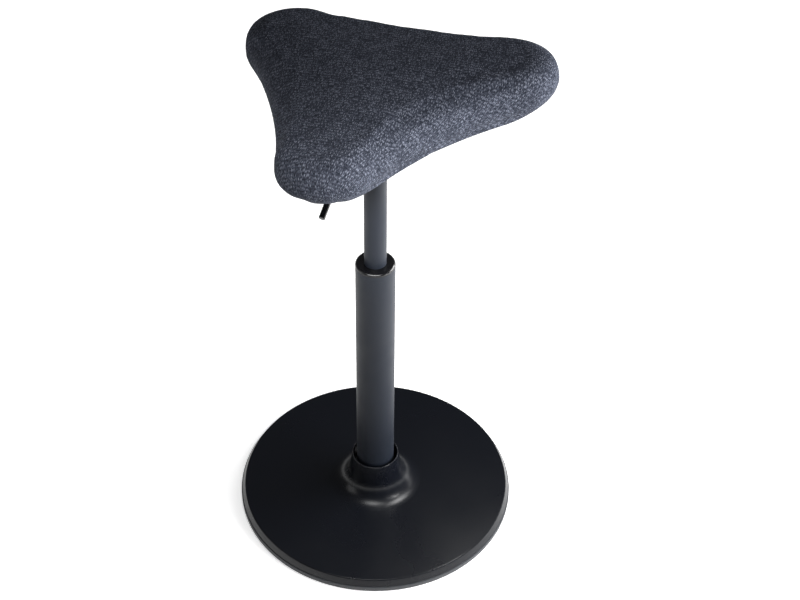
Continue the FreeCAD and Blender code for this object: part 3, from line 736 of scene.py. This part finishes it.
@dataclass
class PaddedSeat:
    """Upholstered three-lobed seat: foam under taut cloth, closed below by felt and staples."""

    lobes: int = 3
    rear_azimuth_deg: float = 90.0
    lobe_reach: float = 0.208
    lobe_radius: float = 0.0615
    side_dip: float = 0.0156
    rise: float = 0.043
    level: SeatLevel = SeatLevel()
    top_inset: float = 0.040
    under_inset: float = 0.038
    opening_scale: float = 0.85
    felt_thickness: float = 0.0008
    # Blown up, the cover rises and its sides draw in, so it starts lower and wider than the seat.
    start_lower: float = 0.0112
    start_crown: float = 0.004
    start_wider: float = 0.004
    # From above, the lobe over the lever is a little narrower and the side across from it fuller.
    nose_azimuth_deg: float = 210.0
    nose_width: float = 0.905
    back_width: float = 1.017
    nose_reach: float = 0.206
    back_reach: float = 0.100
    sideways: float = 0.0012
    cover_dips: tuple[float, float, float] = (0.0095, 0.017, 0.003)
    # Roundness of the edge over and under its widest line; 2 is an ellipse, more is fuller.
    shoulder: float = 3.4
    tuck: float = 1.6
    voxel: float = 0.005
    pressure: float = 4.0
    frames: int = 20
    most_swell: float = 0.005
    bending: float = 4.0
    lobe_points: int = 40
    side_points: int = 32
    edge_steps: int = 14
    flat_steps: int = 12
    staples_per_side: int = 7
    stops_per_staple: int = 4
    staple_crown: tuple[float, float, float] = (0.010, 0.0013, 0.0007)
    crown_crease: float = 0.65
    # Rings of the felt; it stays just inside its opening and thinner than the room for it.
    felt_scales: tuple[float, ...] = (0.25, 0.5, 0.7, 0.85, 0.91, 0.95, 0.98, 1.0)
    felt_fit: float = 0.998
    felt_body: float = 0.9
    # The puckers start at this ring, and end at the edge after this many half waves.
    pucker_start: float = 0.91
    pucker_waves: float = 0.75
    pucker: float = 0.0007
    pucker_reach: float = 0.007
    half_turn: float = field(init=False)
    lobe_centre: float = field(init=False)

    def __post_init__(self) -> None:
        """Works out where the lobes are."""
        self.half_turn = math.pi / self.lobes
        self.lobe_centre = self.lobe_reach - self.lobe_radius

    def side_arc(self, dip: float) -> tuple[float, float, float]:
        """Arc of a hollow side, which meets the lobes without a corner.

        Args:
            dip: How far the side lies inside the straight line that touches two lobes.

        Returns:
            How far out its centre is, its radius and half its angle.
        """
        level = self.lobe_centre * math.cos(self.half_turn)
        half = self.lobe_centre * math.sin(self.half_turn)
        waist = level + self.lobe_radius - dip
        apart = half ** 2 + (waist - level) ** 2
        radius = (apart - self.lobe_radius ** 2) / (2 * dip)
        centre = waist + radius
        return centre, radius, math.atan2(half, centre - level)

    def build(self) -> None:
        """Makes the cushion, the felt and the staples, and dresses the board."""
        SEAT_BOARD.dress("seat_board")
        cushion = self.cushion()
        cushion.data.materials.append(SEAT_CLOTH.material())
        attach(cushion, "seat")
        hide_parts("seat_cover", "seat_foam")
        LOG.info("%s: %s", cushion.name, SEAT_CLOTH.name)
        felt = self.felt()
        felt.data.materials.append(UNDER_FELT.material())
        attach(felt, "seat")
        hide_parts("dust_cover")
        reach = np.ptp(self.outline(self.under_inset, self.opening_scale), axis=0)
        LOG.info("%s: %s", felt.name, UNDER_FELT.name)
        staples = self.staples()
        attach(staples, "seat")
        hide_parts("staples")
        LOG.info("%s: %s", staples.name, ZINC_STEEL.name)

    def outline(self, inset: float, scale: float = 1.0, dips: tuple[float, ...] = ()) -> np.ndarray:
        """Seat outline drawn in by an inset: a rounded lobe and a hollow side in turn.

        Args:
            inset: How far the outline lies inside the widest one.
            scale: Size about the middle.
            dips: Hollow of each side; the even one if none is given.

        Returns:
            Points in the plane, one row each.
        """
        arcs = [self.side_arc(dip) for dip in dips or (self.side_dip,) * self.lobes]
        points = []
        for lobe in range(self.lobes):
            centre, radius, half = arcs[lobe]
            heading = math.radians(self.rear_azimuth_deg) + 2 * lobe * self.half_turn
            turns = heading + np.linspace(
                -self.half_turn - arcs[lobe - 1][2], self.half_turn + half, self.lobe_points,
                endpoint=False)
            middle = self.lobe_centre * np.array([math.cos(heading), math.sin(heading)])
            points.append(middle + (self.lobe_radius - inset) * np.c_[np.cos(turns), np.sin(turns)])
            heading += self.half_turn
            turns = heading + math.pi + np.linspace(half, -half, self.side_points, endpoint=False)
            middle = centre * np.array([math.cos(heading), math.sin(heading)])
            points.append(middle + (radius + inset) * np.c_[np.cos(turns), np.sin(turns)])
        return scale * np.concatenate(points)

    def cover_outline(self, inset: float, scale: float = 1.0) -> np.ndarray:
        """Outline of the cover: narrower at the nose and fuller at the back than the even one.

        Args:
            inset: How far the outline lies inside the widest one.
            scale: Size about the middle.

        Returns:
            Points in the plane, one row each.
        """
        nose = math.radians(self.nose_azimuth_deg)
        axes = np.array([[math.cos(nose), math.sin(nose)], [-math.sin(nose), math.cos(nose)]])
        along, across = axes @ self.outline(inset, scale, self.cover_dips).T
        back = -self.lobe_reach * math.cos(self.half_turn)
        share = (along - back) / (self.lobe_reach - back)
        along = -self.back_reach + share * (self.nose_reach + self.back_reach)
        across = across * (self.back_width + share * (self.nose_width - self.back_width))
        return np.c_[along, across + self.sideways] @ axes

    def rings(self) -> list[np.ndarray]:
        """Outlines of the slack cover, from the middle of its top over the edge to the underside.

        Returns:
            Rings of points in the seat's own level.
        """
        rise = self.rise - self.start_lower
        depth = self.level.depth - self.felt_thickness
        wide = -self.start_wider
        found = []
        for step in range(1, self.flat_steps):
            scale = step / self.flat_steps
            level = rise + self.start_crown * (1 - scale ** 2)
            found.append((self.cover_outline(wide + self.top_inset, scale), level))
        for step in range(self.edge_steps + 1):
            turn = math.pi / 2 * (1 - step / self.edge_steps)
            inset = wide + self.top_inset * (1 - math.cos(turn) ** (2 / self.shoulder))
            found.append((self.cover_outline(inset), rise * math.sin(turn) ** (2 / self.shoulder)))
        for step in range(1, self.edge_steps + 1):
            turn = math.pi / 2 * step / self.edge_steps
            inset = wide + self.under_inset * (1 - abs(math.cos(turn)) ** (2 / self.tuck))
            found.append((self.cover_outline(inset), -depth * math.sin(turn) ** (2 / self.tuck)))
        for step in range(self.flat_steps - 1, 0, -1):
            scale = step / self.flat_steps
            found.append((self.cover_outline(wide + self.under_inset, scale), -depth))
        return [np.c_[ring, np.full(len(ring), level)] for ring, level in found]

    def cushion(self) -> Object:
        """The finished cushion, blown up from the slack cover, with its weave map.

        Returns:
            The cushion, in its place.
        """
        rings = self.rings()
        top = np.array([[0.0, 0.0, self.rise - self.start_lower + self.start_crown]])
        under = np.array([[0.0, 0.0, rings[-1][0, 2]]])
        count = len(rings[0])
        points = np.concatenate([top, *rings, under])
        faces = ring_faces(len(rings), count)
        last = 1 + (len(rings) - 1) * count
        faces += [(last + i, last + count, last + (i + 1) % count) for i in range(count)]
        form = new_object("seat_cushion", points.tolist(), faces=faces)
        surface = BVHTree.FromPolygons(points.tolist(), faces)
        self.blow_up(form)
        self.weave_map(form, surface, points, faces, self.unrolled(rings))
        self.level.place(form)
        form.data.shade_smooth()
        return form

    def blow_up(self, form: Object) -> None:
        """Remeshes the slack cover evenly and lets air pressure tighten it, its underside held.

        Args:
            form: The cover, whose mesh is replaced.
        """
        remesh = form.modifiers.new("even_mesh", "REMESH")
        remesh.mode = "VOXEL"
        remesh.voxel_size = self.voxel
        settle(form)
        start = np.array([v.co for v in form.data.vertices])
        board = form.vertex_groups.new(name="board")
        held = np.nonzero(start[:, 2] < -self.level.depth + self.voxel / 2)[0]
        board.add(held.tolist(), 1.0, "REPLACE")
        cloth = form.modifiers.new("cover", "CLOTH")
        cloth.settings.use_pressure = True
        cloth.settings.uniform_pressure_force = self.pressure
        cloth.settings.vertex_group_mass = board.name
        cloth.settings.effector_weights.gravity = 0.0
        cloth.settings.bending_stiffness = self.bending
        cloth.point_cache.frame_end = self.frames
        for moment in range(1, self.frames + 1):
            bpy.context.scene.frame_set(moment)
        settle(form)
        bpy.context.scene.frame_set(1)
        move = np.array([v.co for v in form.data.vertices]) - start
        length = np.linalg.norm(move, axis=1, keepdims=True)
        move *= np.minimum(1.0, self.most_swell / np.maximum(length, 1e-9))
        form.data.vertices.foreach_set("co", (start + move).ravel())
        form.data.update()
        LOG.info("cover swelled by %.1f mm on average", 1000 * float(length.mean()))
        form.vertex_groups.clear()
        smooth = form.modifiers.new("rounding", "SUBSURF")
        smooth.levels = smooth.render_levels = 1
        settle(form)

    def unrolled(self, rings: list[np.ndarray]) -> np.ndarray:
        """Places of the cover's points on the flat cloth, in metres.

        The top lies as it is, and the edge carries on from it, straight out.

        Args:
            rings: The cover's rings, from the middle of its top to the middle of its underside.

        Returns:
            A flat place for each point: the top's middle, the rings and the underside's middle.
        """
        outward = (self.cover_outline(0.0) - self.cover_outline(MM)) / MM
        flat = [ring[:, :2] for ring in rings[:self.flat_steps]]
        run = np.zeros((len(rings[0]), 1))
        for inner, outer in zip(rings[self.flat_steps - 1:], rings[self.flat_steps:]):
            run += np.linalg.norm(outer - inner, axis=1, keepdims=True)
            flat.append(flat[self.flat_steps - 1] + outward * run)
        return np.concatenate([np.zeros((1, 2)), *flat, flat[-1][:1]])

    def weave_map(
        self, form: Object, surface: BVHTree, points: np.ndarray,
        faces: list[tuple[int, ...]], flat: np.ndarray,
    ) -> None:
        """Gives the cushion the cloth's flat coordinates.

        Args:
            form: The cushion.
            surface: The slack cover, to look up near places on.
            points: The slack cover's points.
            faces: Its faces.
            flat: Its points on the flat cloth.
        """
        found = np.zeros((len(form.data.vertices), 2))
        for vertex in form.data.vertices:
            near, _, number, _ = surface.find_nearest(vertex.co)
            face = list(faces[number])
            shares = poly_3d_calc([Vector(points[corner]) for corner in face], near)
            found[vertex.index] = np.array(shares) @ flat[face]
        layer = form.data.uv_layers.new(name=WEAVE_MAP)
        corners = np.zeros(len(form.data.loops), dtype=int)
        form.data.loops.foreach_get("vertex_index", corners)
        layer.data.foreach_set("uv", found[corners].ravel())

    def staple_places(self) -> list[np.ndarray]:
        """Lines that the staples follow: the hollow sides of the felt's edge.

        Returns:
            One run of points for each side, from the middle of its first staple to its last.
        """
        edge = self.outline(self.under_inset, self.opening_scale)
        lap = self.lobe_points + self.side_points
        lines = []
        for lobe in range(self.lobes):
            side = np.take(edge, np.arange(lap * lobe + self.lobe_points, lap * (lobe + 1) + 1),
                           axis=0, mode="wrap")
            run = np.r_[0.0, np.cumsum(np.linalg.norm(np.diff(side, axis=0), axis=1))]
            half = 0.5 / self.staples_per_side
            count = self.stops_per_staple * self.staples_per_side
            stops = np.linspace(half, 1 - half, count) * run[-1]
            lines.append(np.column_stack([np.interp(stops, run, axis) for axis in side.T]))
        return lines

    def felt(self) -> Object:
        """Felt that closes the underside: taut, and puckered between the staples at its edge.

        Returns:
            The felt, in its place.
        """
        edge = self.outline(self.under_inset, self.opening_scale * self.felt_fit)
        tacks = np.concatenate([line[::self.stops_per_staple] for line in self.staple_places()])
        away = np.linalg.norm(edge[:, None] - tacks[None], axis=2).min(axis=1)
        sag = self.pucker * (1 - np.exp(-(away / self.pucker_reach) ** 2))
        points = [np.array([[0.0, 0.0, -self.level.depth]])]
        for scale in self.felt_scales:
            share = max(0.0, (scale - self.pucker_start) / (1 - self.pucker_start))
            level = -self.level.depth - sag * math.sin(math.pi * self.pucker_waves * share)
            points.append(np.c_[edge * scale, level])
        # The felt faces down.
        upward = ring_faces(len(self.felt_scales), len(edge))
        faces = [(first, *others[::-1]) for first, *others in upward]
        felt = new_object("dust_felt", np.concatenate(points).tolist(), faces=faces)
        body = felt.modifiers.new("body", "SOLIDIFY")
        body.thickness = self.felt_thickness * self.felt_body
        body.offset = -1.0
        settle(felt)
        felt.data.shade_smooth()
        self.level.place(felt)
        return felt

    def staple_tree(self) -> NodeTree:
        """Staple crowns set along lines, each turned to its line.

        Returns:
            The tree.
        """
        tree, entry = new_tree(
            "staple_rows", Int=("Count",), Vector=("Crown",), Material=("Metal",))
        lines = add_node(tree, "GeometryNodeMeshToCurve", {"Mesh": entry["Geometry"]})
        stops = add_node(tree, "GeometryNodeResampleCurve", {
            "Curve": lines["Curve"], "Count": entry["Count"]})
        block = add_node(tree, "GeometryNodeMeshCube", {"Size": entry["Crown"]})
        wire = add_node(tree, "GeometryNodeSubdivisionSurface", {
            "Mesh": block["Mesh"], "Level": 2, "Edge Crease": self.crown_crease})
        smooth = add_node(tree, "GeometryNodeSetShadeSmooth", {"Geometry": wire["Mesh"]})
        run = add_node(tree, "GeometryNodeInputTangent")
        turn = add_node(
            tree, "FunctionNodeAlignRotationToVector", {"Vector": run["Tangent"]}, axis="X")
        copies = add_node(tree, "GeometryNodeInstanceOnPoints", {
            "Points": stops["Curve"], "Instance": smooth["Geometry"], "Rotation": turn["Rotation"]})
        end_tree(tree, copies["Instances"], entry["Metal"])
        return tree

    def staples(self) -> Object:
        """Rows of staples that hold the felt's edge.

        Returns:
            The staples, in their place.
        """
        points, edges = [], []
        for line in self.staple_places():
            first = len(points)
            points += [(x, y, -self.level.depth - self.staple_crown[2] / 2) for x, y in line]
            edges += [(i, i + 1) for i in range(first, len(points) - 1)]
        staples = new_object("staples_pressed", points, edges)
        grow(staples, self.staple_tree(), {
            "Count": self.staples_per_side, "Crown": self.staple_crown,
            "Metal": ZINC_STEEL.material()})
        self.level.place(staples)
        return staples


@dataclass
class Softbox:
    """Rectangular studio lamp turned to a point on the column."""

    name: str
    azimuth_deg: float
    elevation_deg: float
    distance: float
    width: float
    height: float
    watts: float
    aim_height: float = 0.4
    # Whether the lamp shows in glossy surfaces; a light behind a polariser doesn't.
    mirrored: bool = True

    def build(self) -> None:
        """Adds the lamp."""
        lamp = bpy.data.lights.new(self.name, "AREA")
        lamp.shape = "RECTANGLE"
        lamp.size = self.width
        lamp.size_y = self.height
        lamp.energy = self.watts
        item = bpy.data.objects.new(self.name, lamp)
        item.visible_camera = False
        item.visible_glossy = self.mirrored
        face_column(item, self.azimuth_deg, self.elevation_deg, self.distance, self.aim_height)


@dataclass
class Studio:
    """Pale paper floor with far walls, soft lamps and the camera."""

    floor_half: float = 20.0
    wall_height: float = 2.5
    paper: str = "F4F4F4"
    white: str = "FFFFFF"
    paper_lift: float = 0.55
    # The floor is white to the eye outside this ring, and keeps the stool's shadow inside it.
    shadow_ring: Span = (1.0, 2.0)
    world_strength: float = 0.09
    camera_azimuth_deg: float = -38.8
    camera_elevation_deg: float = 42.2
    camera_distance: float = 2.2122
    camera_aim: float = 0.3487
    focal_pixels: float = 1762.0
    image_pixels: float = 800.0
    sensor_mm: float = 36.0
    camera_shift: float = 0.0308

    def build(self) -> None:
        """Sets the view, the floor, the lamps and the camera."""
        bpy.context.scene.view_settings.view_transform = "Standard"
        self.floor()
        self.world()
        for lamp in (
            # Broad low light at the right in front, for the near side of the seat.
            Softbox("front_softbox", 41.0, 7.0, 2.4, 3.4, 1.1, 205.0, 0.6, mirrored=False),
            # Near fill over the lobe with the lever, which leaves the far lobes darker.
            Softbox("fill_softbox", -58.0, 37.0, 0.39, 0.2, 0.2, 0.72, 0.66),
            # Small lamps close over the base, for the gleam on the collar's flare and the line
            # along the base's edge.
            Softbox("collar_right_lamp", 66.0, 64.0, 0.5, 0.15, 0.15, 1.1, 0.025),
            Softbox("collar_front_lamp", -46.5, 76.0, 0.5, 0.15, 0.1, 0.45, 0.022),
            Softbox("edge_lamp", 28.0, 48.5, 0.57, 0.2, 0.03, 0.6, 0.02),
            # Strip at the right for the tubes' edge, and a weak light from behind at the left.
            Softbox("right_strip", 85.0, 12.0, 2.0, 0.24, 1.6, 5.0),
            Softbox("left_softbox", -120.0, 20.0, 2.4, 1.2, 1.2, 5.0),
        ):
            lamp.build()
        self.camera()

    def floor(self) -> None:
        """Adds the floor and walls, whose paper glows a little to the eye and so looks white."""
        half = self.floor_half
        corners = [(-half, -half), (half, -half), (half, half), (-half, half)]
        floor = new_object(
            "studio_floor", [(x, y, z) for z in (0.0, self.wall_height) for x, y in corners],
            faces=[(0, 1, 2, 3)] + [(i, i + 4, (i + 1) % 4 + 4, (i + 1) % 4) for i in range(4)])
        paper = bpy.data.materials.new("studio_paper")
        tree = empty_tree(paper)
        path = add_node(tree, "ShaderNodeLightPath")
        seen = path["Is Camera Ray"]
        for ray in ("Is Glossy Ray", "Is Transmission Ray"):
            either = add_node(tree, "ShaderNodeMath", {0: seen, 1: path[ray]}, operation="MAXIMUM")
            seen = either[0]
        place = add_node(tree, "ShaderNodeNewGeometry")
        away = add_node(tree, "ShaderNodeVectorMath", {0: place["Position"]}, operation="LENGTH")
        level = add_node(tree, "ShaderNodeMapRange", {
            "Value": away["Value"], **span(self.shadow_ring, (self.paper_lift, 1.0))})
        lift = add_node(tree, "ShaderNodeMath", {0: seen, 1: level["Result"]}, operation="MULTIPLY")
        glow = add_node(tree, "ShaderNodeEmission", {
            "Color": linear(self.white), "Strength": lift[0]})
        matt = add_node(tree, "ShaderNodeBsdfDiffuse", {"Color": linear(self.paper)})
        both = add_node(tree, "ShaderNodeAddShader", {0: matt[0], 1: glow[0]})
        add_node(tree, "ShaderNodeOutputMaterial", {"Surface": both[0]})
        floor.data.materials.append(paper)

    def world(self) -> None:
        """Fills the room with even light."""
        world = bpy.data.worlds.new("studio_room")
        tree = empty_tree(world)
        light = add_node(tree, "ShaderNodeBackground", {
            "Color": linear(self.white), "Strength": self.world_strength})
        add_node(tree, "ShaderNodeOutputWorld", {"Surface": light[0]})
        bpy.context.scene.world = world

    def camera(self) -> None:
        """Adds the camera at the photograph's angle."""
        lens = bpy.data.cameras.new("photo_camera")
        lens.sensor_width = self.sensor_mm
        lens.lens = self.focal_pixels * self.sensor_mm / self.image_pixels
        lens.shift_x = self.camera_shift
        item = bpy.data.objects.new("photo_camera", lens)
        face_column(
            item, self.camera_azimuth_deg, self.camera_elevation_deg, self.camera_distance,
            self.camera_aim)
        bpy.context.scene.camera = item


def main() -> None:
    """Builds the stool's sub-assemblies in order, then the studio."""
    logging.basicConfig(level=logging.INFO, format="%(message)s")
    WeightedBase().build()
    GasLift().build()
    SeatCarrier().build()
    HeightLever().build()
    PaddedSeat().build()
    Studio().build()


if __name__ == "__main__":
    main()
